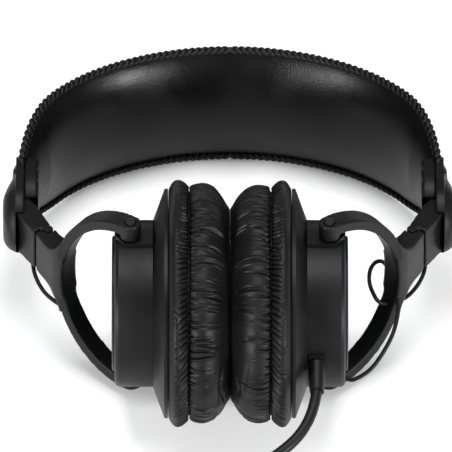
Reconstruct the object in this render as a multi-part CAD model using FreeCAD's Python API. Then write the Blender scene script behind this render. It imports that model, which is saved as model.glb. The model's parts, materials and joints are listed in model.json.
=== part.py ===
import FreeCAD, Part

import math
import os

# Folding closed-back over-ear headphones, lying on their rear side.
# Millimetres. The pieces are drawn upright in the "worn" frame: +X is the
# wearer's left, +Y is up towards the crown, +Z is forward, and the origin is
# midway between the two ear-cup pivots. Every piece is drawn for the left
# side (+X) and mirrored for the right. At the end all of it is laid down, so
# that it rests on the pads' skirts and on the crown's rear edge.

V = FreeCAD.Vector

# ---- driving dimensions -------------------------------------------------
OVAL = 0.88                 # front-to-back size of each oval over its height

PIVOT_X = 37.4              # ear-cup pivot axis, parallel to Z
HOUSING_R = 31.5            # round closed housing behind each driver
HOUSING_X = (29.0, 43.5)
HOUSING_WALL = 2.0
CAP_R = 25.5                # thin disc on the housing's outer face
CAP_THICK = 1.0

RIM_X = (23.4, 24.7)        # oval baffle plate: its flat rim
RIM_R = 46.5
PLATE_NECK_R = 34.0         # where the plate's shallow cone meets the housing
PLATE_HOLLOW_R = 28.6
PAD_OUTER_R = 50.0          # widest line of the pad's skirt
PAD_HOLE_R = 29.0
PAD_GAP = 1.2               # from the middle plane to the pad's face

DRIVER_R = 20.5
MAGNET_R = 12.0

RING_OUT = (33.5, 40.0)     # yoke ring: reach from the pivot axis, half height
RING_IN = (29.5, 35.5)
RING_DEPTH = 8.0
RING_LEAN = 36.87           # angle of the ring's plane above X, degrees
ARM_REACH = 36.0            # deep enough to keep the arm out of the ring's window
RING_EYE = (4.0, 33.1)      # radius, and its nearest face's distance from the cup's middle
PIN_R = 1.5
PIN_HEAD = (1.7, 38.8, 40.1)  # radius, start and flush end of the head
PIN_WELL_R = 2.05           # groove round the head
PIN_FIT = 0.05              # running clearance of the pivots
PIN_INNER = 30.4            # where the pivot pin ends inside the housing

FOLD_X, FOLD_Y = 68.9, 33.2 # fold hinge axis, parallel to Z
FOLD_R = 2.0                # knuckle round the fold pin
FOLD_PIN_R = 1.0
FOLD_PIN_HALF = 7.6         # the pin ends inside the outer knuckles
KNUCKLE_HALF = 4.5          # half length of the yoke's middle knuckle
KNUCKLE_GAP = 0.3
ARM_HALF = 9.2              # half width of the slider block and yoke arm
ARM_GAP = 0.35

COVER_HALF = 14.0           # half width of the end covers
COVER_TOP_Y = 70.0
COVER_SPLIT_X = 78.0        # seam between inner and outer shell
COVER_INNER_X = 72.7
COVER_BOTTOM_Y = (37.5, 46.0)  # round lower ends of the outer and inner shells
# the outer shell's profile in X and Y, from the top down
COVER_BULGE = [(82.6, 70.0), (82.6, 66.5), (83.0, 62.5), (84.4, 58.3), (85.7, 54.0), (86.2, 49.0),
               (85.9, 44.0), (84.8, 40.5), (82.6, 38.0), (80.0, 37.5)]
BULGE_FACETS = 28
SCREW_SPOTS = [(64.0, 11.6), (64.0, -11.6), (57.0, 11.0), (57.0, -11.0)]
SCREW_HEAD_R, SCREW_SHANK_R = 1.5, 0.9
CHANNEL_X, CHANNEL_HALF = 81.2, 9.7  # outer wall and half width of the slot in which the slider runs

ARCH_Y = 60.0               # centre of the headband's ellipse
ARCH_OUT = (82.0, 61.3)
BAND_THICK = 9.0
BAND_HALF = 25.0            # half width at the crown
BAND_END_HALF = 12.6        # half width at the end covers
BAND_SHOULDER_Y = 92.0      # the band narrows below this height
BAND_END_Y = 70.3
BAND_TAB_Y = 62.0           # the spring strip's ends, inside the covers
COVER_SKIN = 1.2
STRIP_THICK = 0.8
STRIP_HALF = 7.0
PIPING_SIZE = 3.0
PIPING_PROUD = 2.0          # how far the piping stands out past the band's edge

WIRE_R = 0.65
CABLE_R = 2.1

LIE_ANGLE = 8.45            # turn about X that lays the piece down, degrees
LIE = math.radians(LIE_ANGLE)
FLOOR_LIFT = math.hypot(PAD_OUTER_R * math.sin(LIE), OVAL * PAD_OUTER_R * math.cos(LIE))
CENTRE_SHIFT = -36.9        # puts the origin under the middle of the length

# The free cable, in the finished frame (floor at Z = 0): a list chosen by
# hand, from the strain relief to the coil, and from the coil to the plug.
CABLE_ROUTE = [
    (32.5, -82.6, 46.0), (31.6, -91.5, 45.2), (25.0, -104.5, 42.8), (10.5, -114.0, 38.5),
    (-3.0, -120.5, 33.5), (-13.5, -130.5, 26.5), (-19.0, -144.0, 19.0), (-19.5, -158.0, 15.0),
]
TAIL_ROUTE = [
    (26.0, -193.5, 2.1), (40.0, -190.0, 2.1), (51.5, -180.5, 2.3), (58.0, -167.0, 4.5),
]
COIL_CENTRE = (12.0, -160.0)
COIL_R = 25.0               # middle of the turns
COIL_HALF_WIDTH = 10.9
COIL_HEIGHT = 17.2
COIL_CHAMFER = 3.0
TIE_THICK = 0.8
GLAND = ((29.6, -33.5, -5.5), (35.6, -28.5, 1.5))  # low and high corners, drawn upright
NECK_R, NECK_LENGTH = (3.4, 2.7), 12.5
NECK_START, NECK_DIR = (32.6, -33.5, -2.0), (0, -1, -0.24)
PLUG_DIR = (0.434, 0.901, 0.0)
BOOT_LENGTH, BOOT_R = 14.0, (2.7, 3.9)
BARREL_LENGTH, BARREL_R = 17.0, 4.5
JACK_LENGTH, JACK_R = 14.0, 1.75

nodes = {}


# ---- helpers ------------------------------------------------------------
def lathe_x(points):
    """Turn a closed outline of (x, radius) points about the X axis."""
    wire = Part.makePolygon([V(x, r, 0) for x, r in points + points[:1]])
    return Part.Face(wire).revolve(V(0, 0, 0), V(1, 0, 0), 360)


def oval(shape):
    """Squash a turned shape front to back into the ear cup's oval."""
    squash = FreeCAD.Matrix()
    squash.scale(V(1, 1, OVAL))
    return shape.transformGeometry(squash)


def rod(start, end, radius):
    axis = V(*end) - V(*start)
    return Part.makeCylinder(radius, axis.Length, V(*start), axis)


def box(low, high):
    size = V(*high) - V(*low)
    return Part.makeBox(size.x, size.y, size.z, V(*low))


def plate_xy(points, half):
    """A flat-sided bar: an outline in X and Y, 'half' thick to each side."""
    wire = Part.makePolygon([V(x, y, -half) for x, y in points + points[:1]])
    return Part.Face(wire).extrude(V(0, 0, 2 * half))


def ellipse_disc(centre, major, minor, depth):
    curve = Part.Ellipse(centre + major, centre + minor, centre)
    return Part.Face(Part.Wire(curve.toShape())).extrude(depth)


def rounded_path(points):
    """Straight runs joined by tangent arcs, each as large as its runs allow."""
    points = [V(*p) for p in points]
    edges, radii, start = [], [], points[0]
    for before, corner, after in zip(points, points[1:], points[2:]):
        back, ahead = before - corner, after - corner
        reach = 0.45 * min(back.Length, ahead.Length)
        half_turn = (math.pi - back.getAngle(ahead)) / 2
        radii.append(reach / math.tan(half_turn))
        back.normalize()
        ahead.normalize()
        enter, leave = corner + back * reach, corner + ahead * reach
        bisector = (back + ahead).normalize()
        centre = corner + bisector * (radii[-1] / math.cos(half_turn))
        middle = centre - bisector * radii[-1]
        edges.append(Part.LineSegment(start, enter).toShape())
        edges.append(Part.Arc(enter, middle, leave).toShape())
        start = leave
    edges.append(Part.LineSegment(start, points[-1]).toShape())
    return Part.Wire(edges), radii


def tube(points, radius, name):
    path, radii = rounded_path(points)
    run = V(*points[1]) - V(*points[0])
    ring = Part.Wire(Part.makeCircle(radius, V(*points[0]), run))
    solid = path.makePipeShell([ring], True, False)
    ratio = solid.Volume / (math.pi * radius ** 2 * path.Length)
    print(f"{name}: length {path.Length:.1f}, volume over section x length {ratio:.3f}, "
          f"tightest arc {min(radii):.1f}")
    return solid


def mirrored(shape):
    return shape.mirror(V(0, 0, 0), V(1, 0, 0))


def add_pair(name, shape):
    """One piece for each side: the left as drawn, the right mirrored."""
    nodes[name + "_left"] = shape
    nodes[name + "_right"] = mirrored(shape)


# ---- headband -----------------------------------------------------------
def arch(outer_inset, thickness, lowest):
    """A stretch of the headband's arch, between two ellipses, full width."""
    a, b = ARCH_OUT[0] - outer_inset, ARCH_OUT[1] - outer_inset
    deep = V(0, 0, 4 * BAND_HALF)
    centre = V(0, ARCH_Y, -2 * BAND_HALF)
    outer = ellipse_disc(centre, V(a, 0, 0), V(0, b, 0), deep)
    inner = ellipse_disc(centre, V(a - thickness, 0, 0), V(0, b - thickness, 0), deep)
    above = box((-100, lowest, -60), (100, 140, 60))
    return outer.cut(inner).common(above)


def band_outline(grow):
    """The band's plan width: full at the crown, narrowing to the covers."""
    top, end = BAND_HALF + grow, BAND_END_HALF + grow
    side = [(140, top), (BAND_SHOULDER_Y, top), (BAND_END_Y, end), (40, end)]
    points = side + [(y, -z) for y, z in reversed(side)]
    wire = Part.makePolygon([V(-100, y, z) for y, z in points + points[:1]])
    return Part.Face(wire).extrude(V(200, 0, 0))


def make_headband():
    width = band_outline(0)
    nodes["band_cover"] = arch(0, COVER_SKIN, BAND_END_Y).common(width)
    strip_room = box((-100, 40, -STRIP_HALF), (100, 140, STRIP_HALF))
    nodes["spring_strip"] = arch(COVER_SKIN + 0.2, STRIP_THICK, BAND_TAB_Y).common(strip_room)
    lining_inset = COVER_SKIN + 0.4 + STRIP_THICK
    lining = arch(lining_inset, BAND_THICK - lining_inset, BAND_END_Y).common(width)
    nodes["band_lining"] = lining
    rim = band_outline(PIPING_PROUD).cut(band_outline(0.1))
    piping = arch(2.6, PIPING_SIZE, BAND_END_Y).common(rim)
    nodes["piping_front"] = piping.common(box((-100, 40, 0), (100, 140, 60)))
    nodes["piping_rear"] = piping.common(box((-100, 40, -60), (100, 140, 0)))
    lead_room = box((-100, 60, 9.0), (100, 140, 10.0))
    nodes["band_lead"] = arch(COVER_SKIN + 0.1, 1.0, BAND_END_Y + 1).common(lead_room)


# ---- end covers, slider and fold hinge ----------------------------------
def cover_outline(bottom_y, half, x0, x1):
    """A tongue with a round lower end, standing across X."""
    centre_y = bottom_y + half
    tongue = box((x0, centre_y, -half), (x1, COVER_TOP_Y, half))
    round_end = rod((x0, centre_y, 0), (x1, centre_y, 0), half)
    round_end = round_end.common(box((x0, bottom_y, -half), (x1, centre_y, half)))
    return tongue.fuse(round_end).removeSplitter()


def cover_screws():
    seat_x = COVER_INNER_X + 1.6
    screws = []
    for y, z in SCREW_SPOTS:
        head = rod((COVER_INNER_X + 0.4, y, z), (seat_x, y, z), SCREW_HEAD_R)
        shank = rod((seat_x, y, z), (82.0, y, z), SCREW_SHANK_R)
        screws.append(head.fuse(shank))
    return screws


def screw_wells():
    """The screws' heads sit in small wells, open to the inner face."""
    face_x = COVER_INNER_X
    return [rod((face_x - 1, y, z), (face_x + 0.4, y, z), SCREW_HEAD_R) for y, z in SCREW_SPOTS]


def bulge_block():
    """The outer shell's profile in X and Y, in narrow flats along a smooth curve, wider than the shell."""
    curve = Part.BSplineCurve()
    curve.interpolate([V(x, y, 0) for x, y in COVER_BULGE])
    outline = [(p.x, p.y) for p in curve.toShape().discretize(Number=BULGE_FACETS)]
    back = [(COVER_SPLIT_X, outline[-1][1]), (COVER_SPLIT_X, outline[0][1])]
    return plate_xy(outline + back, COVER_HALF + 1)


def make_end_cover():
    outer = cover_outline(COVER_BOTTOM_Y[0], COVER_HALF, COVER_SPLIT_X, 90.0)
    outer = outer.common(bulge_block())
    inner = cover_outline(COVER_BOTTOM_Y[1], COVER_HALF - 0.5, COVER_INNER_X, COVER_SPLIT_X)
    back_edges = [e for e in inner.Edges if e.BoundBox.XMax < COVER_INNER_X + 0.1]
    inner = inner.makeFillet(1.6, back_edges)
    channel = box((76.2, 30, -CHANNEL_HALF), (CHANNEL_X, 68.0, CHANNEL_HALF))
    mouth = plate_xy([(71, 44), (71, 46.6), (73.4, 51.5), (76.5, 58), (CHANNEL_X, 58), (CHANNEL_X, 44)],
                     CHANNEL_HALF)
    tab_slot = arch(COVER_SKIN - 0.1, STRIP_THICK + 0.6, 60)
    tab_slot = tab_slot.common(box((70, 60, -STRIP_HALF - 0.3), (90, 80, STRIP_HALF + 0.3)))
    dimple = rod((77.2, 61.0, COVER_HALF - 1.2), (77.2, 61.0, COVER_HALF + 1), 0.5)
    hollows = [channel, mouth, tab_slot, dimple] + cover_screws() + screw_wells()
    add_pair("end_cover_outer", outer.cut(hollows))
    add_pair("end_cover_inner", inner.cut(hollows))
    add_pair("end_cover_screws", Part.makeCompound(cover_screws()))
    spring = plate_xy([(76.3, 60.0), (76.3, 66.5), (76.9, 66.5), (76.9, 64.0), (77.3, 63.2),
                       (76.9, 62.4), (76.9, 60.0)], 3.0)
    add_pair("detent_spring", spring)


def fold_rod(low, high, radius):
    """A cylinder on the fold axis."""
    return rod((FOLD_X, FOLD_Y, low), (FOLD_X, FOLD_Y, high), radius)


def fold_pin(grow=0.0):
    return fold_rod(-FOLD_PIN_HALF - grow, FOLD_PIN_HALF + grow, FOLD_PIN_R + grow)


def make_slider():
    block = plate_xy([(81.0, 57.5), (81.0, 42.0), (74.2, 31.4), (68.2, 35.8), (73.6, 47.4),
                      (76.6, 52.0), (76.6, 57.5)], ARM_HALF)
    strip = box((77.8, 44.0, -6.0), (78.6, 67.4, 6.0))
    start = KNUCKLE_HALF + KNUCKLE_GAP
    outer_knuckles = [fold_rod(start, ARM_HALF, FOLD_R), fold_rod(-ARM_HALF, -start, FOLD_R)]
    clear = fold_rod(-start, start, FOLD_R + ARM_GAP)
    block = block.cut([clear, strip]).fuse(outer_knuckles)
    add_pair("slider_block", block.cut(fold_pin()))
    add_pair("slider_strip", strip)
    add_pair("fold_hinge_pin", fold_pin())


# ---- yoke ---------------------------------------------------------------
def ring_half(reach_height, depth):
    """Half an elliptical disc in the yoke ring's plane."""
    reach, height = reach_height
    disc = ellipse_disc(V(0, -depth / 2, 0), V(0, 0, height), V(reach, 0, 0), V(0, depth, 0))
    return disc.common(box((0, -20, -60), (60, 20, 60)))


def to_ring_place(shape):
    shape = shape.copy()
    shape.rotate(V(0, 0, 0), V(0, 0, 1), RING_LEAN)
    shape.translate(V(PIVOT_X, 0, 0))
    return shape


def pivot_rod(side, near, far, radius):
    """A cylinder on the ear cup's pivot axis, in front (side 1) or behind (side -1)."""
    return rod((PIVOT_X, 0, side * near), (PIVOT_X, 0, side * far), radius)


def pivot_pin(side):
    """A round-headed pin: its head is flush with the yoke's outer face."""
    radius, start, end = PIN_HEAD
    return pivot_rod(side, start, end, radius).fuse(pivot_rod(side, PIN_INNER, start, PIN_R))


def arm_and_webs():
    """The yoke's arm, with a curved web to each side where it spreads into the ring."""
    outline = [(73.6, 30.6), (67.6, 34.9), (62.4, 27.0), (59.6, 23.4), (55.6, 19.6), (58.0, 15.0),
               (63.0, 12.6), (66.9, 17.2)]
    side = [(40.5, ARM_HALF), (37.0, 9.9), (34.2, 11.6), (32.0, 14.2), (30.5, 17.0)]
    points = [V(u, -ARM_REACH / 2, z) for u, z in side + [(u, -z) for u, z in reversed(side)]]
    webs = Part.Face(Part.makePolygon(points + points[:1])).extrude(V(0, ARM_REACH, 0))
    webs = to_ring_place(webs).common(plate_xy(outline, 2 * ARM_HALF))
    return plate_xy(outline, ARM_HALF).fuse(webs)


def make_yoke():
    ring = to_ring_place(ring_half(RING_OUT, RING_DEPTH).cut(ring_half(RING_IN, RING_DEPTH)))
    window = to_ring_place(ring_half(RING_IN, ARM_REACH))
    arm = arm_and_webs().cut(window)
    gap = plate_xy([(76.0, 29.6), (66.4, 36.6), (67.6, 38.0), (80.0, 30.0)], ARM_HALF + 1)
    sweep = [fold_rod(KNUCKLE_HALF, ARM_HALF + 1, FOLD_R + ARM_GAP),
             fold_rod(-ARM_HALF - 1, -KNUCKLE_HALF, FOLD_R + ARM_GAP)]
    eye_r, eye_start = RING_EYE
    eyes = [pivot_rod(side, eye_start, RING_OUT[1], eye_r) for side in (1, -1)]
    yoke = ring.fuse([arm] + eyes).cut([gap] + sweep)
    yoke = yoke.fuse(fold_rod(-KNUCKLE_HALF, KNUCKLE_HALF, FOLD_R))
    wells = [pivot_rod(side, PIN_HEAD[1], PIN_HEAD[2] + 1, PIN_WELL_R) for side in (1, -1)]
    pins = [pivot_pin(1), pivot_pin(-1)]
    add_pair("yoke", yoke.cut(pins + wells + [fold_pin(PIN_FIT)]).removeSplitter())
    add_pair("pivot_pins", Part.makeCompound(pins))


# ---- ear cup ------------------------------------------------------------
def screw_spots():
    return [(26.2 * math.cos(math.radians(a)), 26.2 * math.sin(math.radians(a))) for a in (45, 135, 225, 315)]


def gland_block():
    """The strain relief's base, set into the left housing."""
    return box(*GLAND)


def make_housing():
    x0, x1 = HOUSING_X
    inner_r, floor_x = HOUSING_R - HOUSING_WALL, x1 - HOUSING_WALL
    shell = lathe_x([(x0, inner_r), (x0, HOUSING_R), (x1 - 1.6, HOUSING_R), (x1 - 0.5, HOUSING_R - 0.5),
                     (x1, HOUSING_R - 1.6), (x1, 0), (floor_x, 0), (floor_x, inner_r)])
    flats = [(29.1, -4.4), (39.6, -4.4), (43.0, 0.6), (43.0, 4.4), (29.1, 4.4)]
    bosses = [plate_xy(flats, 2.0).translated(V(0, 0, side * 30.8)) for side in (1, -1)]
    posts = [rod((25.6, y, z), (floor_x, y, z), 2.6) for y, z in screw_spots()]
    bores = [pivot_rod(side, 28, 36, PIN_R + PIN_FIT) for side in (1, -1)]
    holes = [rod((23, y, z), (34.0, y, z), 1.0) for y, z in screw_spots()]
    return shell.fuse(bosses + posts).cut(bores + holes)


def make_cup():
    x0, x1 = HOUSING_X
    housing = make_housing()
    nodes["housing_right"] = mirrored(housing)
    nodes["housing_left"] = housing.cut(gland_block())
    nodes["cup_cap_left"] = lathe_x([(x1, 0), (x1, CAP_R), (x1 + 0.6, CAP_R), (x1 + CAP_THICK, CAP_R - 0.5),
                                     (x1 + CAP_THICK, 0)])
    nodes["cup_cap_right"] = mirrored(nodes["cup_cap_left"])
    plate = oval(lathe_x([(RIM_X[0], 0), (RIM_X[0], RIM_R), (RIM_X[1], RIM_R), (x0, PLATE_NECK_R), (x0, 0)]))
    hollow = rod((25.5, 0, 0), (30, 0, 0), PLATE_HOLLOW_R)
    seat = rod((20, 0, 0), (30, 0, 0), DRIVER_R)
    posts = [rod((25.6, y, z), (40, y, z), 2.7) for y, z in screw_spots()]
    screw_holes = [rod((20, y, z), (30, y, z), 1.0) for y, z in screw_spots()]
    heads = [rod((RIM_X[0], y, z), (24.4, y, z), 1.9) for y, z in screw_spots()]
    add_pair("baffle_plate", plate.cut([hollow, seat] + posts + screw_holes + heads))
    screws = [h.fuse(rod((24.4, y, z), (33.0, y, z), 1.0)) for h, (y, z) in zip(heads, screw_spots())]
    add_pair("housing_screws", Part.makeCompound(screws))
    make_driver()
    add_pair("damping_felt", rod((39.2, 0, 0), (41.4, 0, 0), 22.0))


def make_driver():
    frame = lathe_x([(24.0, MAGNET_R), (24.0, 18.8), (23.4, 18.8), (23.4, DRIVER_R), (26.0, DRIVER_R),
                     (28.5, 15.5), (28.5, MAGNET_R)])
    add_pair("driver_frame", frame)
    add_pair("driver_magnet", rod((24.6, 0, 0), (31.0, 0, 0), MAGNET_R))
    dome = lathe_x([(23.5, 0), (23.5, 8.0), (23.5, 18.6), (23.8, 18.6), (23.8, 8.0), (23.9, 0)])
    add_pair("diaphragm", dome)
    grille = rod((22.2, 0, 0), (23.3, 0, 0), DRIVER_R + 1)
    slots = [rod((22, r * math.cos(a), r * math.sin(a)), (24, r * math.cos(a), r * math.sin(a)), 0.9)
             for r, count in ((5, 6), (10, 12), (15, 18))
             for a in [2 * math.pi * i / count for i in range(count)]]
    add_pair("driver_grille", grille.cut(slots))


def make_ear_pad():
    back_x = RIM_X[0] - 0.02
    skirt = [(back_x, PAD_HOLE_R), (back_x, RIM_R + 0.5), (21.6, 49.2), (19.7, PAD_OUTER_R), (17.6, 48.6)]
    seam_and_cushion = [(15.9, 45.4), (13.6, 47.4), (9.5, 48.0), (5.2, 45.8), (2.2, 41.0), (PAD_GAP, 35.0),
                        (2.4, 31.0), (6.0, PAD_HOLE_R)]
    add_pair("ear_pad", oval(lathe_x(skirt + seam_and_cushion)))
    add_pair("pad_screen", oval(rod((20.6, 0, 0), (21.8, 0, 0), PAD_HOLE_R - 0.4)))


# ---- leads, cable and plug ----------------------------------------------
def make_leads():
    upper = [(74.4, 40.5, -10.0), (75.4, 34.0, -12.2), (72.6, 26.0, -15.6), (67.2, 19.2, -18.0),
             (61.6, 15.6, -21.6)]
    add_pair("upper_lead", tube(upper, WIRE_R, "upper lead"))
    lower = [(62.4, 12.0, -20.6), (59.5, 2.0, -26.0), (53.0, -8.0, -27.5), (46.5, -16.0, -22.0),
             (43.6, -21.0, -18.0)]
    add_pair("lower_lead", tube(lower, WIRE_R, "lower lead").cut(mirrored(nodes["housing_right"])))


def make_strain_relief():
    """The cable's gland: a block set into the left housing, and its tapered neck."""
    neck = Part.makeCone(NECK_R[0], NECK_R[1], NECK_LENGTH, V(*NECK_START), V(*NECK_DIR))
    nodes["strain_relief"] = gland_block().fuse(neck)


def lay_down(shape):
    shape = shape.copy()
    shape.rotate(V(0, 0, 0), V(1, 0, 0), -LIE_ANGLE)
    shape.translate(V(0, CENTRE_SHIFT, FLOOR_LIFT))
    return shape


def coil_ring(grow):
    """The ring that the cable's turns fill, lying on the surface."""
    low, high = COIL_R - COIL_HALF_WIDTH - grow, COIL_R + COIL_HALF_WIDTH + grow
    top, cut = COIL_HEIGHT + grow, COIL_CHAMFER
    outline = [(low, 0), (high, 0), (high, top - cut), (high - cut, top), (low + cut, top), (low, top - cut)]
    wire = Part.makePolygon([V(r, 0, z) for r, z in outline + outline[:1]])
    ring = Part.Face(wire).revolve(V(0, 0, 0), V(0, 0, 1), 360)
    return ring.translated(V(COIL_CENTRE[0], COIL_CENTRE[1], 0))


def make_free_cable():
    coil = coil_ring(0.0)
    nodes["cable_coil"] = coil
    nodes["cable"] = tube(CABLE_ROUTE, CABLE_R, "cable").cut([coil, nodes["strain_relief"]])
    tie_room = box((0, COIL_CENTRE[1] - 5, 0), (100, COIL_CENTRE[1] + 5, 40))
    nodes["coil_tie"] = coil_ring(TIE_THICK).cut(coil).common(tie_room)
    start = V(*TAIL_ROUTE[-1])
    along = V(*PLUG_DIR).normalize()
    joint = start + along * BOOT_LENGTH
    tip = joint + along * BARREL_LENGTH
    boot = Part.makeCone(BOOT_R[0], BOOT_R[1], BOOT_LENGTH, start, along)
    nodes["plug_boot"] = boot
    nodes["cable_tail"] = tube(TAIL_ROUTE, CABLE_R, "cable tail").cut([coil, boot])
    nodes["plug_barrel"] = Part.makeCylinder(BARREL_R, BARREL_LENGTH, joint, along)
    nodes["plug_jack"] = Part.makeCylinder(JACK_R, JACK_LENGTH, tip, along)


make_headband()
make_end_cover()
make_slider()
make_yoke()
make_cup()
make_ear_pad()
make_leads()
make_strain_relief()
nodes = {name: lay_down(shape) for name, shape in nodes.items()}
make_free_cable()

os.makedirs("parts", exist_ok=True)
for name, shape in nodes.items():
    solids = shape.Solids
    whole = solids[0] if len(solids) == 1 else Part.makeCompound(solids)
    whole.exportStep(f"parts/{name}.step")
    print(f"{name}: {len(solids)} solid(s), volume {shape.Volume:.0f}, valid {shape.isValid()}")
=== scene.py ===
"""Looks of the folding over-ear headphones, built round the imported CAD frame.

Worn directions come from the frame's own joints: LEFT is +X, UP runs from the ear-cup pivots to
the crown, and FORWARD is the axis that every hinge turns about. Sizes are in millimetres in
those directions, and at() turns them into the frame's metres.
"""
import json
import math
import random

import bmesh
import bpy
import numpy as np
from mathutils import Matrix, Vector


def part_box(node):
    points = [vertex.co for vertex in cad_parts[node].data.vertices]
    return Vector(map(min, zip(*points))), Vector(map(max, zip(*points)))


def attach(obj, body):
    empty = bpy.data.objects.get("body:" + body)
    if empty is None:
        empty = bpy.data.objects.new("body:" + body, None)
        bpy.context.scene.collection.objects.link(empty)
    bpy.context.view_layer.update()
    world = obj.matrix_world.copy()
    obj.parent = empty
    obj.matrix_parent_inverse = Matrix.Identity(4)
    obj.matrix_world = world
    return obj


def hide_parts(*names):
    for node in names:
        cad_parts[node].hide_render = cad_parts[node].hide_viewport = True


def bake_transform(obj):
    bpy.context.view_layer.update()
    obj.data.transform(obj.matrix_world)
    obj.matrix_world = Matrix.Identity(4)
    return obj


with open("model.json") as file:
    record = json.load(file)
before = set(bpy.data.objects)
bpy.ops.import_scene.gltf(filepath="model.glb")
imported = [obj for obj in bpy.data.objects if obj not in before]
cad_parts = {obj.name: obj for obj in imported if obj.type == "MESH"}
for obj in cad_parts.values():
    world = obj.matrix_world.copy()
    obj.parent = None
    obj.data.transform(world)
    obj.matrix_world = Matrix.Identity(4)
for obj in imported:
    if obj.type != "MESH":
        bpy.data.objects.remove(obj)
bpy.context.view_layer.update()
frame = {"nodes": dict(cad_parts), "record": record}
JOINTS = {j["name"]: j for j in frame["record"]["behaviour"]["joints"]}
SIDES = {"left": 1, "right": -1}

LEFT = Vector((1, 0, 0))
FORWARD = Vector(JOINTS["tilt_left"]["axis"]).normalized()
UP = FORWARD.cross(LEFT)
PIVOTS = [Vector(JOINTS["tilt_" + side]["pos_m"]) for side in SIDES]
ORIGIN = (PIVOTS[0] + PIVOTS[1]) / 2


def at(x, y, z):
    """A place in the worn directions, in millimetres, as a point of the frame."""
    return ORIGIN + (LEFT * x + UP * y + FORWARD * z) * 0.001


def at_all(points):
    """The same for an array of points whose last axis is x, y, z."""
    basis = np.array([LEFT, UP, FORWARD])
    return np.array(ORIGIN) + points @ basis * 0.001


# ---- materials ----------------------------------------------------------
NOISE_LOW, NOISE_HIGH = 0.3, 0.7    # nearly all of a noise texture's values lie between these


def shader(name, colour, roughness, specular=0.16, metallic=0.0, sheen=0.0):
    material = bpy.data.materials.new(name)
    material.use_nodes = True
    bsdf = material.node_tree.nodes["Principled BSDF"]
    bsdf.inputs["Base Color"].default_value = (*colour, 1)
    bsdf.inputs["Roughness"].default_value = roughness
    bsdf.inputs["Metallic"].default_value = metallic
    bsdf.inputs["Specular IOR Level"].default_value = specular
    bsdf.inputs["Sheen Weight"].default_value = sheen
    bsdf.inputs["Sheen Roughness"].default_value = 0.4
    return material, material.node_tree, bsdf


def texture(tree, kind, scale, **inputs):
    """A procedural texture in object space; scale is in features per metre."""
    coords = tree.nodes.new("ShaderNodeTexCoord")
    node = tree.nodes.new(kind)
    tree.links.new(coords.outputs["Object"], node.inputs["Vector"])
    node.inputs["Scale"].default_value = scale
    for key, value in inputs.items():
        node.inputs[key.replace("_", " ")].default_value = value
    return node


def vary(tree, source, low, high, target):
    """Spread a texture's value between two numbers on a shader socket."""
    spread = tree.nodes.new("ShaderNodeMapRange")
    tree.links.new(source, spread.inputs["Value"])
    limits = {"From Min": NOISE_LOW, "From Max": NOISE_HIGH, "To Min": low, "To Max": high}
    for key, value in limits.items():
        spread.inputs[key].default_value = value
    tree.links.new(spread.outputs["Result"], target)


def tint(tree, source, dark, light, target):
    """Spread a texture's value between two colours on a shader socket."""
    ramp = tree.nodes.new("ShaderNodeValToRGB")
    ramp.color_ramp.elements[0].position = NOISE_LOW
    ramp.color_ramp.elements[1].position = NOISE_HIGH
    ramp.color_ramp.elements[0].color = (*dark, 1)
    ramp.color_ramp.elements[1].color = (*light, 1)
    tree.links.new(source, ramp.inputs["Fac"])
    tree.links.new(ramp.outputs["Color"], target)


def bump(tree, bsdf, layers):
    """Stack bump layers: each is (height socket, distance in mm, strength)."""
    previous = None
    for height, distance, strength in layers:
        node = tree.nodes.new("ShaderNodeBump")
        node.inputs["Distance"].default_value = distance / 1000
        node.inputs["Strength"].default_value = strength
        tree.links.new(height, node.inputs["Height"])
        if previous:
            tree.links.new(previous, node.inputs["Normal"])
        previous = node.outputs["Normal"]
    tree.links.new(previous, bsdf.inputs["Normal"])


def shades(grey, tone=(1, 1, 1.04), spread=0.25):
    """A darker and a lighter colour of one tone."""
    return [tuple(grey * way * part for part in tone) for way in (1 - spread, 1 + spread)]


def leather(name, grey, roughness, grain_mm, depth, specular=0.16):
    material, tree, bsdf = shader(name, (grey, grey, grey), roughness, specular)
    grain = texture(tree, "ShaderNodeTexVoronoi", 1000 / grain_mm)
    fine = texture(tree, "ShaderNodeTexNoise", 2600 / grain_mm, Detail=3.0)
    wide = texture(tree, "ShaderNodeTexNoise", 60, Detail=4.0)
    tint(tree, wide.outputs["Fac"], *shades(grey), bsdf.inputs["Base Color"])
    vary(tree, wide.outputs["Fac"], roughness - 0.06, roughness + 0.08, bsdf.inputs["Roughness"])
    layers = [(grain.outputs["Distance"], 0.10, depth), (fine.outputs["Fac"], 0.05, depth * 0.7)]
    bump(tree, bsdf, layers)
    return material


def plastic(name, grey, roughness, tone=(1, 1, 1.04)):
    """Moulded plastic with a spark-eroded texture and a little handling wear."""
    material, tree, bsdf = shader(name, (grey, grey, grey), roughness)
    fine = texture(tree, "ShaderNodeTexNoise", 3500, Detail=2.0)
    wide = texture(tree, "ShaderNodeTexNoise", 70, Detail=5.0)
    tint(tree, wide.outputs["Fac"], *shades(grey, tone, 0.15), bsdf.inputs["Base Color"])
    vary(tree, wide.outputs["Fac"], roughness - 0.05, roughness + 0.07, bsdf.inputs["Roughness"])
    bump(tree, bsdf, [(fine.outputs["Fac"], 0.06, 0.35)])
    return material


def woven(name, grey, thread_mm, roughness=0.75):
    material, tree, bsdf = shader(name, (grey, grey, grey), roughness, sheen=0.25)
    weave = texture(tree, "ShaderNodeTexWave", 1000 / thread_mm / 6.28, Distortion=1.5, Detail=2.0)
    fuzz = texture(tree, "ShaderNodeTexNoise", 5200 / thread_mm, Detail=4.0)
    tint(tree, fuzz.outputs["Fac"], *shades(grey, spread=0.5), bsdf.inputs["Base Color"])
    bump(tree, bsdf, [(weave.outputs["Fac"], 0.12, 0.5), (fuzz.outputs["Fac"], 0.1, 0.6)])
    return material


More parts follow.
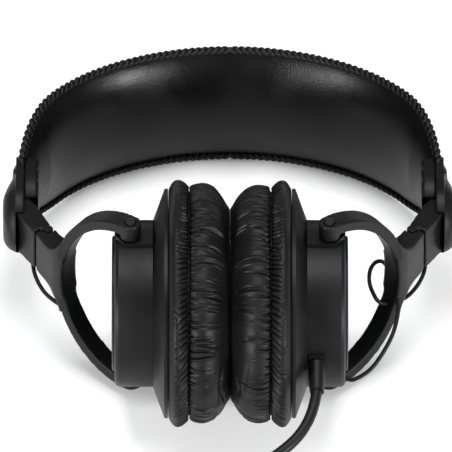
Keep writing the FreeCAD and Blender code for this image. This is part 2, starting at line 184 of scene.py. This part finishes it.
def rubber(name, grey, roughness):
    material, tree, bsdf = shader(name, (grey, grey, grey), roughness)
    fine = texture(tree, "ShaderNodeTexNoise", 1400, Detail=3.0)
    wide = texture(tree, "ShaderNodeTexNoise", 45, Detail=3.0)
    tint(tree, wide.outputs["Fac"], *shades(grey, spread=0.2), bsdf.inputs["Base Color"])
    vary(tree, wide.outputs["Fac"], roughness - 0.05, roughness + 0.08, bsdf.inputs["Roughness"])
    bump(tree, bsdf, [(fine.outputs["Fac"], 0.03, 0.3)])
    return material


def metal(name, colour, roughness):
    material, tree, bsdf = shader(name, colour, roughness, metallic=1.0)
    brushed = texture(tree, "ShaderNodeTexNoise", 900, Detail=6.0)
    vary(tree, brushed.outputs["Fac"], roughness - 0.07, roughness + 0.1, bsdf.inputs["Roughness"])
    bump(tree, bsdf, [(brushed.outputs["Fac"], 0.01, 0.2)])
    return material


MATERIALS = {
    "leatherette": leather("leatherette", 0.0035, 0.48, 0.55, 0.35),
    "leatherette_lining": leather("leatherette_lining", 0.0015, 0.3, 0.6, 0.45, 0.17),
    "pad_leatherette": leather("pad_leatherette", 0.003, 0.45, 0.4, 0.3),
    "piping": leather("piping", 0.004, 0.36, 0.3, 0.6),
    "shell_plastic": plastic("shell_plastic", 0.004, 0.44),
    "arm_plastic": plastic("arm_plastic", 0.0045, 0.42),
    "cap_plate": plastic("cap_plate", 0.012, 0.42, (0.5, 1.15, 1.4)),
    "driver_plastic": plastic("driver_plastic", 0.012, 0.6),
    "diaphragm_film": plastic("diaphragm_film", 0.35, 0.25, (1, 1, 0.8)),
    "screen_cloth": woven("screen_cloth", 0.010, 0.5),
    "felt": woven("felt", 0.2, 0.4, 0.9),
    "tie": woven("tie", 0.012, 0.5, 0.85),
    "wire": rubber("wire", 0.005, 0.45),
    "cable_rubber": rubber("cable_rubber", 0.005, 0.45),
    "plug_shell": plastic("plug_shell", 0.012, 0.4),
    "plug_metal": metal("plug_metal", (0.75, 0.66, 0.45), 0.22),
    "pin_metal": plastic("pin_metal", 0.016, 0.38),
    "screw": metal("screw", (0.015, 0.015, 0.016), 0.5),
    "steel": metal("steel", (0.45, 0.45, 0.46), 0.35),
}


def dress(piece, slot):
    piece.data.materials.clear()
    piece.data.materials.append(MATERIALS[slot])


def dress_cad_nodes():
    """Give every CAD node the finish that the record names for it."""
    for entry in frame["record"]["subparts"]:
        node = frame["nodes"][entry["node"]]
        for index in range(max(1, len(node.material_slots))):
            if not node.material_slots:
                node.data.materials.append(None)
            node.material_slots[index].material = MATERIALS[entry["material_slot"]]


# ---- mesh helpers -------------------------------------------------------
def new_object(name, vertices, faces, slot, smooth=True):
    mesh = bpy.data.meshes.new(name)
    mesh.from_pydata([tuple(v) for v in vertices], [], faces)
    mesh.validate()
    if smooth:
        mesh.shade_smooth()
    piece = bpy.data.objects.new(name, mesh)
    bpy.context.scene.collection.objects.link(piece)
    dress(piece, slot)
    return piece


def grid_faces(rows, columns, wrap_rows, wrap_columns, start=0):
    """Quads of a grid of points, joined up across its ends where it wraps."""
    faces = []
    for i in range(rows if wrap_rows else rows - 1):
        for j in range(columns if wrap_columns else columns - 1):
            k, m = (i + 1) % rows, (j + 1) % columns
            faces.append((start + i * columns + j, start + i * columns + m,
                          start + k * columns + m, start + k * columns + j))
    return faces


def outward(piece):
    """Turn a closed mesh's faces outward."""
    work = bmesh.new()
    work.from_mesh(piece.data)
    bmesh.ops.recalc_face_normals(work, faces=work.faces)
    work.to_mesh(piece.data)
    work.free()
    return piece


def smooth_line(points, per_span):
    """Catmull-Rom curve through the points."""
    pts = np.array(points, float)
    ends = np.vstack([2 * pts[0] - pts[1], pts, 2 * pts[-1] - pts[-2]])
    t = np.linspace(0, 1, per_span, endpoint=False)[:, None]
    spans = []
    for a, b, c, d in zip(ends, ends[1:], ends[2:], ends[3:]):
        spans.append(0.5 * (2 * b + (c - a) * t + (2 * a - 5 * b + 4 * c - d) * t ** 2
                            + (3 * b - a - 3 * c + d) * t ** 3))
    return np.vstack(spans + [pts[-1:]])


def sections(line, start_side):
    """Two unit vectors across the line at each of its points, with no twist."""
    tangents = np.gradient(line, axis=0)
    tangents /= np.linalg.norm(tangents, axis=1)[:, None]
    side = np.array(start_side, float)
    sides = []
    for tangent in tangents:
        side = side - tangent * side.dot(tangent)
        side /= np.linalg.norm(side)
        sides.append(side)
    sides = np.array(sides)
    return sides, np.cross(tangents, sides)


def tube_points(line, radius, count, start_side=(0, 0, 1)):
    a, b = sections(line, start_side)
    turn = np.linspace(0, 2 * math.pi, count, endpoint=False)
    radius = np.broadcast_to(radius, len(line))[:, None, None]
    ring = np.cos(turn)[None, :, None] * a[:, None] + np.sin(turn)[None, :, None] * b[:, None]
    return line[:, None] + radius * ring


def tube_faces(rings, count, start=0):
    faces = grid_faces(rings, count, False, True, start)
    faces.append(tuple(start + i for i in reversed(range(count))))
    faces.append(tuple(start + (rings - 1) * count + i for i in range(count)))
    return faces


def softened(node, voxel_mm, passes, blended=None):
    """A moulded copy of a CAD node: its sharp edges rounded as in a real mould. A junction given as
    its place, reach in mm and passes is smoothed further."""
    source = frame["nodes"][node]
    piece = bpy.data.objects.new(node + "_moulded", source.data.copy())
    bpy.context.scene.collection.objects.link(piece)
    remesh = piece.modifiers.new("remesh", "REMESH")
    remesh.mode = "VOXEL"
    remesh.voxel_size = voxel_mm / 1000
    smooth = piece.modifiers.new("smooth", "SMOOTH")
    smooth.factor = 0.5
    smooth.iterations = passes
    apply_modifiers(piece)
    if blended:
        place, reach, more = blended
        group = piece.vertex_groups.new(name="junction")
        for vertex in piece.data.vertices:
            nearness = 1 - 1000 * (vertex.co - place).length / reach
            if nearness > 0:
                group.add([vertex.index], min(1.0, 3 * nearness), "REPLACE")
        smooth = piece.modifiers.new("junction", "SMOOTH")
        smooth.vertex_group = "junction"
        smooth.factor = 0.5
        smooth.iterations = more
        apply_modifiers(piece)
        piece.vertex_groups.clear()
    piece.data.shade_smooth()
    return piece


def apply_modifiers(piece):
    depsgraph = bpy.context.evaluated_depsgraph_get()
    mesh = bpy.data.meshes.new_from_object(piece.evaluated_get(depsgraph))
    piece.modifiers.clear()
    piece.data = mesh


# ---- camera, floor and light --------------------------------------------
VIEW_ELEVATION = 48.4       # degrees above the floor
VIEW_WIDTH = 170.6          # millimetres that the frame is wide, at the headphones
VIEW_DISTANCE = 6000.0
VIEW_AIM = (-1.5, 29.2)     # the picture's middle from the worn origin: right, and up the picture
SENSOR = 36.0


def make_camera():
    rise = math.radians(VIEW_ELEVATION)
    back = Vector((0, -math.cos(rise), math.sin(rise)))
    picture_up = Vector((0, math.sin(rise), math.cos(rise)))
    aim = ORIGIN + (LEFT * VIEW_AIM[0] + picture_up * VIEW_AIM[1]) * 0.001
    data = bpy.data.cameras.new("camera")
    data.sensor_width = SENSOR
    data.lens = SENSOR * VIEW_DISTANCE / VIEW_WIDTH
    data.clip_end = 40
    camera = bpy.data.objects.new("camera", data)
    camera.location = aim + back * VIEW_DISTANCE * 0.001
    camera.rotation_euler = (math.pi / 2 - rise, 0, 0)
    bpy.context.scene.collection.objects.link(camera)
    bpy.context.scene.camera = camera


def make_floor():
    half = 3.0
    corners = [(-half, -half, 0), (half, -half, 0), (half, half, 0), (-half, half, 0)]
    mesh = bpy.data.meshes.new("floor")
    mesh.from_pydata(corners, [], [(0, 1, 2, 3)])
    floor = bpy.data.objects.new("floor", mesh)
    bpy.context.scene.collection.objects.link(floor)
    material, tree, bsdf = shader("floor", (0.86, 0.86, 0.86), 0.6, specular=0.2)
    mottle = texture(tree, "ShaderNodeTexNoise", 9, Detail=2.0)
    tint(tree, mottle.outputs["Fac"], (0.84, 0.84, 0.84), (0.88, 0.88, 0.88), bsdf.inputs["Base Color"])
    mesh.materials.append(material)


def area_light(name, place, aim, size, watts):
    data = bpy.data.lights.new(name, "AREA")
    data.shape = "RECTANGLE"
    data.size, data.size_y = size
    data.energy = watts
    lamp = bpy.data.objects.new(name, data)
    lamp.location = place
    lamp.rotation_euler = (Vector(aim) - Vector(place)).to_track_quat("-Z", "Y").to_euler()
    bpy.context.scene.collection.objects.link(lamp)


def make_light():
    world = bpy.data.worlds.new("studio")
    world.use_nodes = True
    background = world.node_tree.nodes["Background"]
    background.inputs["Color"].default_value = (0.97, 0.98, 1.0, 1)
    background.inputs["Strength"].default_value = 0.32
    bpy.context.scene.world = world
    bpy.context.scene.view_settings.view_transform = "Standard"
    area_light("left_box", (-0.95, -1.05, 0.46), (0, 0.02, 0.05), (0.3, 0.3), 25)
    area_light("right_box", (0.95, -1.05, 0.46), (0, 0.02, 0.05), (0.3, 0.3), 25)
    area_light("top_box", (0.0, 0.16, 1.2), (0, 0.0, 0.05), (0.9, 0.6), 15)


# ---- free cable ---------------------------------------------------------
# The route in the frame's millimetres, given point by point, as the tube's is.
CABLE_ROUTE = [
    (32.5, -82.6, 46.0), (31.6, -91.5, 45.2), (25.0, -104.5, 42.8), (10.5, -114.0, 38.5),
    (-3.0, -120.5, 33.5), (-13.5, -130.5, 26.5), (-19.0, -144.0, 19.0),
]
TAIL_ROUTE = [(26.0, -193.8, 2.1), (40.0, -190.0, 2.1), (51.5, -180.5, 2.3), (58.0, -167.0, 4.5)]
CABLE_DIAMETER = 4.2
COIL_R = 25.0
COIL_ROWS = (4, 5, 4, 5)    # turns side by side in each layer, from the top
POINTS_PER_TURN = 24
TURN_STEP = 4.3


def coil_slots():
    """Radius and height of each turn, from the top layer's outside to the floor."""
    slots = []
    for row, count in enumerate(COIL_ROWS):
        height = CABLE_DIAMETER / 2 + CABLE_DIAMETER * (len(COIL_ROWS) - 1 - row)
        offsets = [(i - (count - 1) / 2) * TURN_STEP for i in range(count)]
        if row % 2 == 0:
            offsets.reverse()
        slots += [(COIL_R + offset, height) for offset in offsets]
    return slots


def coil_points():
    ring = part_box("cable_coil")
    centre_x = 500 * (ring[0][0] + ring[1][0])
    centre_y = 500 * (ring[0][1] + ring[1][1])
    slots = coil_slots()
    points = []
    start, stretch = math.pi, len(slots) - 0.75
    total = int(stretch * POINTS_PER_TURN)
    for i in range(total + 1):
        turn = i / POINTS_PER_TURN
        now = min(int(turn), len(slots) - 1)
        following = min(now + 1, len(slots) - 1)
        blend = min(1.0, max(0.0, (turn - now - 0.72) / 0.28))
        blend = blend * blend * (3 - 2 * blend)
        radius = slots[now][0] * (1 - blend) + slots[following][0] * blend
        height = slots[now][1] * (1 - blend) + slots[following][1] * blend
        angle = start + 2 * math.pi * turn
        points.append((centre_x + radius * math.cos(angle), centre_y + radius * math.sin(angle), height))
    return points


def make_cable():
    points = CABLE_ROUTE + coil_points() + TAIL_ROUTE
    curve = bpy.data.curves.new("cable_line", "CURVE")
    curve.dimensions = "3D"
    spline = curve.splines.new("NURBS")
    spline.points.add(len(points) - 1)
    for point, place in zip(spline.points, points):
        point.co = (*(0.001 * c for c in place), 1)
    spline.order_u = 3
    spline.use_endpoint_u = True
    curve.resolution_u = 6
    curve.bevel_depth = CABLE_DIAMETER / 2000
    curve.bevel_resolution = 4
    curve.use_fill_caps = True
    cable = bpy.data.objects.new("cable_line", curve)
    bpy.context.scene.collection.objects.link(cable)
    dress(cable, "cable_rubber")
    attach(cable, "free_cable")
    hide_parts("cable", "cable_coil", "cable_tail")


# ---- ear pads -----------------------------------------------------------
OVAL = 0.88                 # the pad's width over its height
PAD_COLUMNS = 1500
# the section, as distance from the middle plane and radius
SKIRT = [(23.2, 44.5), (23.1, 46.3), (21.9, 48.7), (20.7, 49.8), (19.5, 49.9), (18.2, 49.2),
         (16.7, 47.6), (15.4, 45.6)]
CUSHION = [(15.4, 45.6), (14.5, 47.2), (12.2, 48.2), (9.2, 48.3), (6.1, 46.9), (3.4, 44.1), (1.3, 40.6),
           (-0.1, 37.7), (-0.3, 34.2), (1.0, 31.0), (4.2, 29.0), (8.0, 28.4)]
PAD_INSIDE = [(15.0, 28.6), (22.0, 28.9), (23.2, 30.0), (23.2, 38.0)]
SEAM_R = 44.0
CONTACT = 0.01              # the two pads' skins all but meet in the middle plane
DEEPEST = 1.5               # no crease is deeper
LEAST_HEIGHT = 0.00003      # metres; the pads rest on the floor
LONG_FOLDS = (61, 74, 88, 100, 116, 131)  # degrees round the oval
COLUMN_ANGLES = np.linspace(0, 2 * math.pi, PAD_COLUMNS, endpoint=False)


class Skin:
    """Relief of the pad's skin over its plain shape, in millimetres. Rows follow the section, with
    their distance s from the seam, positive on the cushion; columns go round the oval."""

    def __init__(self, s):
        self.s = s
        self.height = np.zeros((len(s), PAD_COLUMNS))

    def fold(self, turn, start, length, width, depth, lean=0.0, bend=0.0, way=1, free=False):
        """A sharp crease across the section, from start outward, with soft banks."""
        rows = np.where((way * self.s >= start) & (way * self.s <= start + length))[0]
        if not len(rows):
            return
        reach = (way * self.s[rows] - start)[:, None]
        along = reach / length
        spread = (abs(lean) * length + abs(bend) * length ** 2 + 6 * width) / SEAM_R
        gap = (COLUMN_ANGLES - turn + math.pi) % (2 * math.pi) - math.pi
        columns = np.where(np.abs(gap) < spread)[0]
        beside = gap[columns][None, :] * SEAM_R
        off = np.abs(beside - lean * reach - bend * reach * (length - reach)) / width
        fade = np.sin(math.pi * along) ** 0.6 if free else (1 - along) ** 0.7
        shape = 0.42 * np.exp(-((off - 2.1) / 1.1) ** 2) - np.exp(-off ** 1.4)
        self.height[np.ix_(rows, columns)] += depth * fade * shape

    def pucker(self, turn, span, at_s, width, depth, slope):
        """A fold that runs round the oval, near the contact."""
        gap = ((COLUMN_ANGLES - turn + math.pi) % (2 * math.pi) - math.pi) * SEAM_R
        columns = np.where(np.abs(gap) < span / 2)[0]
        fade = np.cos(math.pi * gap[columns] / span)[None, :]
        off = np.abs(self.s[:, None] - at_s - slope * gap[columns][None, :]) / width
        shape = 0.45 * np.exp(-((off - 1.9) / 1.0) ** 2) - np.exp(-off ** 1.4)
        self.height[:, columns] += depth * fade * shape


def seam_gathers(skin, chance):
    """The skin is gathered into the seam: short folds on the skirt, longer ones on the cushion."""
    turn = 0.0
    while turn < 2 * math.pi:
        length = chance.choice((3.0, 4.0, 5.0, 7.0, 9.0, 13.0)) * chance.uniform(0.8, 1.2)
        skin.fold(turn, 0.0, length, chance.uniform(0.3, 0.5), chance.uniform(0.8, 1.5),
                  chance.uniform(-0.2, 0.2), chance.uniform(-0.02, 0.02))
        turn += chance.uniform(1.9, 3.9) / SEAM_R
    turn = 0.0
    while turn < 2 * math.pi:
        low = max(0.0, math.cos(turn - math.radians(200)))
        skin.fold(turn, 0.0, chance.uniform(5.5, 7.5) + 1.0 * low, 0.36 + 0.14 * low,
                  chance.uniform(1.1, 1.6), 0.1 + 0.5 * low + chance.uniform(-0.12, 0.12), 0.0, -1)
        turn += (chance.uniform(1.5, 2.0) + 1.3 * low) / SEAM_R


def loose_folds(skin, chance):
    """Long folds that bow over the cushion, fine cracks, and soft puckers beside the contact."""
    for turn in LONG_FOLDS:
        skin.fold(math.radians(turn + chance.uniform(-2, 2)), chance.uniform(0.5, 3),
                  chance.uniform(15, 19), chance.uniform(0.45, 0.65), chance.uniform(0.9, 1.3),
                  chance.uniform(-0.1, 0.1), chance.uniform(-0.016, -0.008), free=True)
    for _ in range(22):
        skin.fold(chance.uniform(0, 2 * math.pi), chance.uniform(0, 5), chance.uniform(9, 17),
                  chance.uniform(0.36, 0.55), chance.uniform(0.5, 0.9), chance.uniform(-0.15, 0.15),
                  chance.uniform(-0.03, 0.01), free=True)
    for _ in range(70):
        skin.fold(chance.uniform(0, 2 * math.pi), chance.uniform(0, 13), chance.uniform(3, 8),
                  chance.uniform(0.3, 0.42), chance.uniform(0.15, 0.32), chance.uniform(-0.35, 0.35),
                  chance.uniform(-0.03, 0.03), free=True)
    for _ in range(9):
        skin.pucker(math.radians(chance.uniform(172, 235)), chance.uniform(10, 20),
                    chance.uniform(10, 17), chance.uniform(0.6, 1.0), chance.uniform(0.2, 0.4),
                    chance.uniform(-0.2, 0.2))


def soft_waves(skin, chance):
    """The foam under the skin is never quite even."""
    over = np.exp(-((skin.s - 10) / 14) ** 2)[:, None]
    for wave in range(2, 34):
        size = 0.26 / wave ** 0.7
        phase = chance.uniform(0, 2 * math.pi) + chance.uniform(-0.12, 0.12) * skin.s[:, None]
        skin.height += size * np.cos(wave * COLUMN_ANGLES[None, :] + phase) * over


def make_ear_pad(side):
    sign = SIDES[side]
    chance = random.Random(7 + sign)
    skirt, cushion = smooth_line(SKIRT, 5)[:-1], smooth_line(CUSHION, 7)
    profile = np.vstack([skirt, cushion, PAD_INSIDE])
    s = np.concatenate([[0], np.cumsum(np.linalg.norm(np.diff(profile, axis=0), axis=1))])
    s -= s[len(skirt)]
    tangent = np.gradient(profile, axis=0)
    normal = np.stack([tangent[:, 1], -tangent[:, 0]], axis=1)
    normal /= np.linalg.norm(normal, axis=1)[:, None]
    if normal[np.argmax(profile[:, 1]), 1] < 0:
        normal = -normal
    skin = Skin(s)
    soft_waves(skin, chance)
    seam_gathers(skin, chance)
    loose_folds(skin, chance)
    skin.height *= np.clip(np.abs(s) / 1.6, 0.2, 1)[:, None]
    skin.height *= np.clip((profile[:, :1] - 0.2) / 2.2, 0.1, 1)
    skin.height -= 0.6 * np.exp(-(np.abs(s) / 0.6) ** 1.5)[:, None]
    skin.height = np.where(skin.height < 0, DEEPEST * np.tanh(skin.height / DEEPEST), skin.height)
    hidden = (profile[:, 0] > 22.9) | ((profile[:, 1] < 30) & (profile[:, 0] > 7))
    skin.height[hidden] = 0
    x = np.maximum(profile[:, :1] + normal[:, :1] * skin.height, CONTACT)
    r = profile[:, 1:] + normal[:, 1:] * skin.height
    y, z = r * np.cos(COLUMN_ANGLES), OVAL * r * np.sin(COLUMN_ANGLES)
    vertices = at_all(np.stack([sign * x, y, z], axis=-1)).reshape(-1, 3)
    vertices[:, 2] = np.maximum(vertices[:, 2], LEAST_HEIGHT)
    faces = grid_faces(len(s), PAD_COLUMNS, True, True)
    pad = outward(new_object("ear_pad_skin_" + side, vertices, faces, "pad_leatherette"))
    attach(pad, "cup_" + side)
    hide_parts("ear_pad_" + side)


# ---- headband -----------------------------------------------------------
ARCH_Y = 60.0
ARCH_A, ARCH_B = 82.0, 61.3
BAND_HALF, BAND_END_HALF = 25.2, 12.4
SHOULDER_Y, BAND_END_Y = 93.0, 66.5
BAND_THICK, EDGE_THICK = 9.4, 2.3
PRESSED_CROWN = 3.4         # how far the padding stands up inside the end cover
BAND_STEPS = 120
PIPING_R = 1.72
PIPING_DEPTH, PIPING_OUT = 2.3, 0.8     # its middle, below the outer arch and past the band's edge
STRANDS, STRAND_R, STRAND_LAY = 2, 0.95, 5.0
STRAND_SIDES = 9


def band_line():
    """Evenly spaced points of the outer arch from the crown to the end cover, and their inward
    normals."""
    last = math.acos((BAND_END_Y - ARCH_Y) / ARCH_B)
    angle = np.linspace(0, last, 2000)
    line = np.stack([ARCH_A * np.sin(angle), ARCH_Y + ARCH_B * np.cos(angle)], axis=1)
    length = np.concatenate([[0], np.cumsum(np.linalg.norm(np.diff(line, axis=0), axis=1))])
    even = np.interp(np.linspace(0, length[-1], BAND_STEPS + 1), length, angle)
    place = np.stack([ARCH_A * np.sin(even), ARCH_Y + ARCH_B * np.cos(even)], axis=1)
    normal = -np.stack([np.sin(even) / ARCH_A, np.cos(even) / ARCH_B], axis=1)
    return place, normal / np.linalg.norm(normal, axis=1)[:, None]


def band_half_width(y):
    down = np.clip((SHOULDER_Y - y) / (SHOULDER_Y - BAND_END_Y), 0, 1)
    return BAND_HALF - (BAND_HALF - BAND_END_HALF) * down * down * (1.6 - 0.6 * down)


def band_surface(depth_of, across):
    """Points of a layer of the band, whose depth below the outer arch varies across it."""
    place, normal = band_line()
    half = band_half_width(place[:, 1])
    depth = depth_of(across, place, half)
    x = place[:, 0][:, None] + normal[:, 0][:, None] * depth
    y = place[:, 1][:, None] + normal[:, 1][:, None] * depth
    z = half[:, None] * across[None, :]
    return np.stack([x, y, z], axis=-1)


def end_thin(place):
    """The padding is pressed thin where it enters the end cover."""
    return np.clip((place[:, 1] - BAND_END_Y - 2) / 14, 0, 1)[:, None] ** 0.6


def lining_depth(across, place, half):
    crown = (1 - np.abs(across) ** 2.2)[None, :] ** 0.85
    full = EDGE_THICK + (BAND_THICK - EDGE_THICK) * crown
    pressed = EDGE_THICK + PRESSED_CROWN * crown
    ripple = 0.10 * np.sin(place[:, 0] * 0.21 + 1.3)[:, None] * crown
    return pressed + (full - pressed) * end_thin(place) + ripple


def back_depth(across, place, half):
    return 0.3 + 0.9 * np.abs(across)[None, :] ** 4 + 0 * place[:, :1]


def cover_depth(across, place, half):
    return back_depth(across, place, half) - 0.3


def under_cover_depth(across, place, half):
    return back_depth(across, place, half) + 0.9


def band_piece(name, side, upper, lower, slot, crown_closed=False, smooth=True):
    """Half of a layer of the band, between two surfaces, closed at the end cover."""
    loop = np.concatenate([upper, lower[:, ::-1]], axis=1)
    loop[..., 0] *= SIDES[side]
    rows, columns = loop.shape[:2]
    faces = grid_faces(rows, columns, False, True)
    faces.append(tuple((rows - 1) * columns + i for i in range(columns)))
    if crown_closed:
        faces.append(tuple(reversed(range(columns))))
    piece = outward(new_object(f"{name}_{side}", at_all(loop).reshape(-1, 3), faces, slot, smooth))
    bend_with_band(piece, [name])


def bend_with_band(piece, nodes):
    """Bake the piece's place into its mesh and hide the CAD nodes that it replaces."""
    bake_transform(piece)
    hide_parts(*nodes)


def make_band(side):
    across = np.sin(np.linspace(-1, 1, 41) * math.pi / 2)
    outer, between, inner = (
        band_surface(depth, across) for depth in (cover_depth, under_cover_depth, lining_depth))
    band_piece("band_lining", side, between, inner, "leatherette_lining")
    band_piece("band_cover", side, outer, between, "leatherette")


def make_piping(side, edge):
    """A cord of two twisted strands along one edge of half the band."""
    place, normal = band_line()
    half = band_half_width(place[:, 1])
    middle = place + normal * PIPING_DEPTH
    line = np.stack([middle[:, 0], middle[:, 1], edge * (half + PIPING_OUT)], axis=1)
    line = smooth_line(line[::4], 12)
    a, b = sections(line, (0, 0, 1))
    length = np.concatenate([[0], np.cumsum(np.linalg.norm(np.diff(line, axis=0), axis=1))])
    vertices, faces = [], []
    for strand in range(STRANDS):
        turn = 2 * math.pi * (length / STRAND_LAY + strand / STRANDS)
        centre = line + (PIPING_R - STRAND_R) * (np.cos(turn)[:, None] * a + np.sin(turn)[:, None] * b)
        ring = tube_points(centre, STRAND_R, STRAND_SIDES)
        faces += tube_faces(len(centre), STRAND_SIDES, len(vertices))
        vertices += list(ring.reshape(-1, 3))
    vertices = np.array(vertices)
    vertices[:, 0] *= SIDES[side]
    name = "front" if edge > 0 else "rear"
    piece = outward(new_object(f"piping_{name}_{side}", at_all(vertices), faces, "piping"))
    bend_with_band(piece, ["piping_" + name])


# the parts inside the band: place across it, depth below its outer arch, and finish
INSIDE_BAND = {
    "spring_strip": ((-7.0, 7.0), (1.4, 2.2), "steel"),
    "band_lead": ((9.0, 10.0), (1.4, 2.2), "wire"),
}


def make_inside_part(name, side):
    """A flat strip inside the band, which follows its arch."""
    spread, depths, slot = INSIDE_BAND[name]
    place, normal = band_line()
    across = np.linspace(*spread, 5)
    layers = []
    for depth in depths:
        middle = place + normal * depth
        row = [np.repeat(middle[:, i][:, None], len(across), axis=1) for i in (0, 1)]
        layers.append(np.stack(row + [np.repeat(across[None, :], len(middle), axis=0)], axis=-1))
    band_piece(name, side, *layers, slot, crown_closed=True, smooth=False)


# ---- leads --------------------------------------------------------------
UPPER_LEAD = {
    "right": [(75.4, 43.5, -8.4), (75.0, 37.5, -9.8), (73.9, 31.0, -12.2), (70.8, 25.0, -14.8),
              (66.2, 20.4, -16.4), (61.6, 17.6, -17.0), (59.6, 17.0, -16.8)],
    "left": [(74.8, 44.0, -8.6), (74.4, 38.0, -10.8), (73.2, 31.6, -12.8), (70.2, 26.0, -14.6),
             (66.4, 21.0, -15.0), (63.2, 18.0, -12.8), (61.0, 18.0, -11.0)],
}
LOWER_LEAD = {
    "right": [(60.2, 17.4, -17.4), (56.0, 13.9, -25.5), (49.6, 9.2, -32.6), (44.8, 4.0, -34.4),
              (42.4, -0.6, -30.4)],
    "left": [(62.2, 20.5, -7.0), (63.2, 16.0, -9.3), (63.6, 10.0, -13.0), (60.8, 1.5, -18.8),
             (54.0, -5.7, -26.7), (47.0, -8.7, -30.3), (43.2, -8.0, -30.0)],
}
SLACK_LOOP = [(61.5, 25.0, -8.0), (58.5, 31.5, -6.5), (55.4, 31.3, -6.0), (53.2, 27.2, -6.4),
              (52.8, 21.2, -7.0), (54.0, 16.9, -8.7), (56.5, 15.0, -12.0), (60.5, 16.5, -14.0),
              (62.2, 17.6, -12.6)]
LEAD_R = 0.8
LEAD_SIDES, LEAD_STEPS = 12, 14


def wire(name, route):
    line = smooth_line(route, LEAD_STEPS)
    ring = tube_points(line, LEAD_R, LEAD_SIDES)
    faces = tube_faces(len(line), LEAD_SIDES)
    return outward(new_object(name, at_all(ring).reshape(-1, 3), faces, "wire"))


def make_lead(name, side, route):
    sign = SIDES[side]
    piece = wire(f"{name}_wire_{side}", [(sign * x, y, z) for x, y, z in route])
    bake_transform(piece)
    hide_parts(f"{name}_{side}")


def make_leads(side):
    upper, lower = UPPER_LEAD[side], LOWER_LEAD[side]
    make_lead("upper_lead", side, upper)
    make_lead("lower_lead", side, lower)


def make_slack_loop():
    """The left lead's slack hangs out of the yoke in a small loop."""
    loop = wire("slack_loop_left", SLACK_LOOP)
    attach(loop, "yoke_left")


# ---- moulded plastics ---------------------------------------------------
MOULDED = {"yoke": 7, "slider_block": 7, "end_cover_outer": 4, "end_cover_inner": 4}  # passes
VOXEL = 0.45                            # millimetres
JUNCTION_X, JUNCTION_Y = 58.5, 17.5     # where the yoke's arm spreads into its ring
JUNCTION_REACH, JUNCTION_PASSES = 18.0, 70
COVER_HALF, COVER_TOP_Y = 14.0, 70.0    # the end cover's outline
COVER_ROUND_Y = 51.5                    # the centre of its round lower end
COVER_OUT, COVER_LEAN = 86.2, 3.4       # how far out its face is, and how far in its top leans
COVER_LEAN_Y, COVER_LEAN_REACH = 50, 12     # where the lean begins, and the height it takes
COVER_ROLL, COVER_TOP_ROLL = 6.5, 3.0   # how softly its face rolls over to the sides and the top
COVER_CHANNEL_X, COVER_RIM_X = 81.3, 78.4   # the doming stops here: over the channel, and at the rim
COVER_PASSES = 5                        # of smoothing after the doming


def roll(depth_in, radius):
    """How far a face has dropped at a distance inside its outline."""
    near = np.clip(radius - depth_in, 0, radius)
    return radius - np.sqrt(radius ** 2 - near ** 2)


def round_cover(piece, side):
    """Dome the end cover's outer shell."""
    mesh = piece.data
    places = np.array([v.co for v in mesh.vertices])
    worn = (places - np.array(ORIGIN)) @ np.array([LEFT, UP, FORWARD]).T * 1000
    x, y, z = np.abs(worn[:, 0]), worn[:, 1], worn[:, 2]
    side_in = COVER_HALF - np.where(y > COVER_ROUND_Y, np.abs(z), np.hypot(y - COVER_ROUND_Y, z))
    height = COVER_OUT - COVER_LEAN * np.clip((y - COVER_LEAN_Y) / COVER_LEAN_REACH, 0, 1) ** 1.5
    limit = height - roll(side_in, COVER_ROLL) - roll(COVER_TOP_Y - y, COVER_TOP_ROLL)
    least = np.where(x > COVER_CHANNEL_X, COVER_CHANNEL_X, COVER_RIM_X)
    worn[:, 0] = SIDES[side] * np.minimum(x, np.maximum(limit, least))
    for vertex, place in zip(mesh.vertices, at_all(worn)):
        vertex.co = place
    smooth = piece.modifiers.new("smooth", "SMOOTH")
    smooth.factor = 0.5
    smooth.iterations = COVER_PASSES
    apply_modifiers(piece)
    piece.data.shade_smooth()


def make_moulded(side):
    for part, passes in MOULDED.items():
        node = f"{part}_{side}"
        junction = None
        if part == "yoke":
            junction = (at(SIDES[side] * JUNCTION_X, JUNCTION_Y, 0), JUNCTION_REACH, JUNCTION_PASSES)
        piece = softened(node, VOXEL, passes, junction)
        if part == "end_cover_outer":
            round_cover(piece, side)
        entry = next(e for e in frame["record"]["subparts"] if e["node"] == node)
        dress(piece, entry["material_slot"])
        body = next(b for b, names in frame["record"]["behaviour"]["bodies"].items() if node in names)
        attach(piece, body)
        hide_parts(node)


make_camera()
make_floor()
make_light()
dress_cad_nodes()
make_cable()
for side in SIDES:
    make_ear_pad(side)
    make_band(side)
    for name in INSIDE_BAND:
        make_inside_part(name, side)
    for edge in (1, -1):
        make_piping(side, edge)
    make_leads(side)
    make_moulded(side)
make_slack_loop()
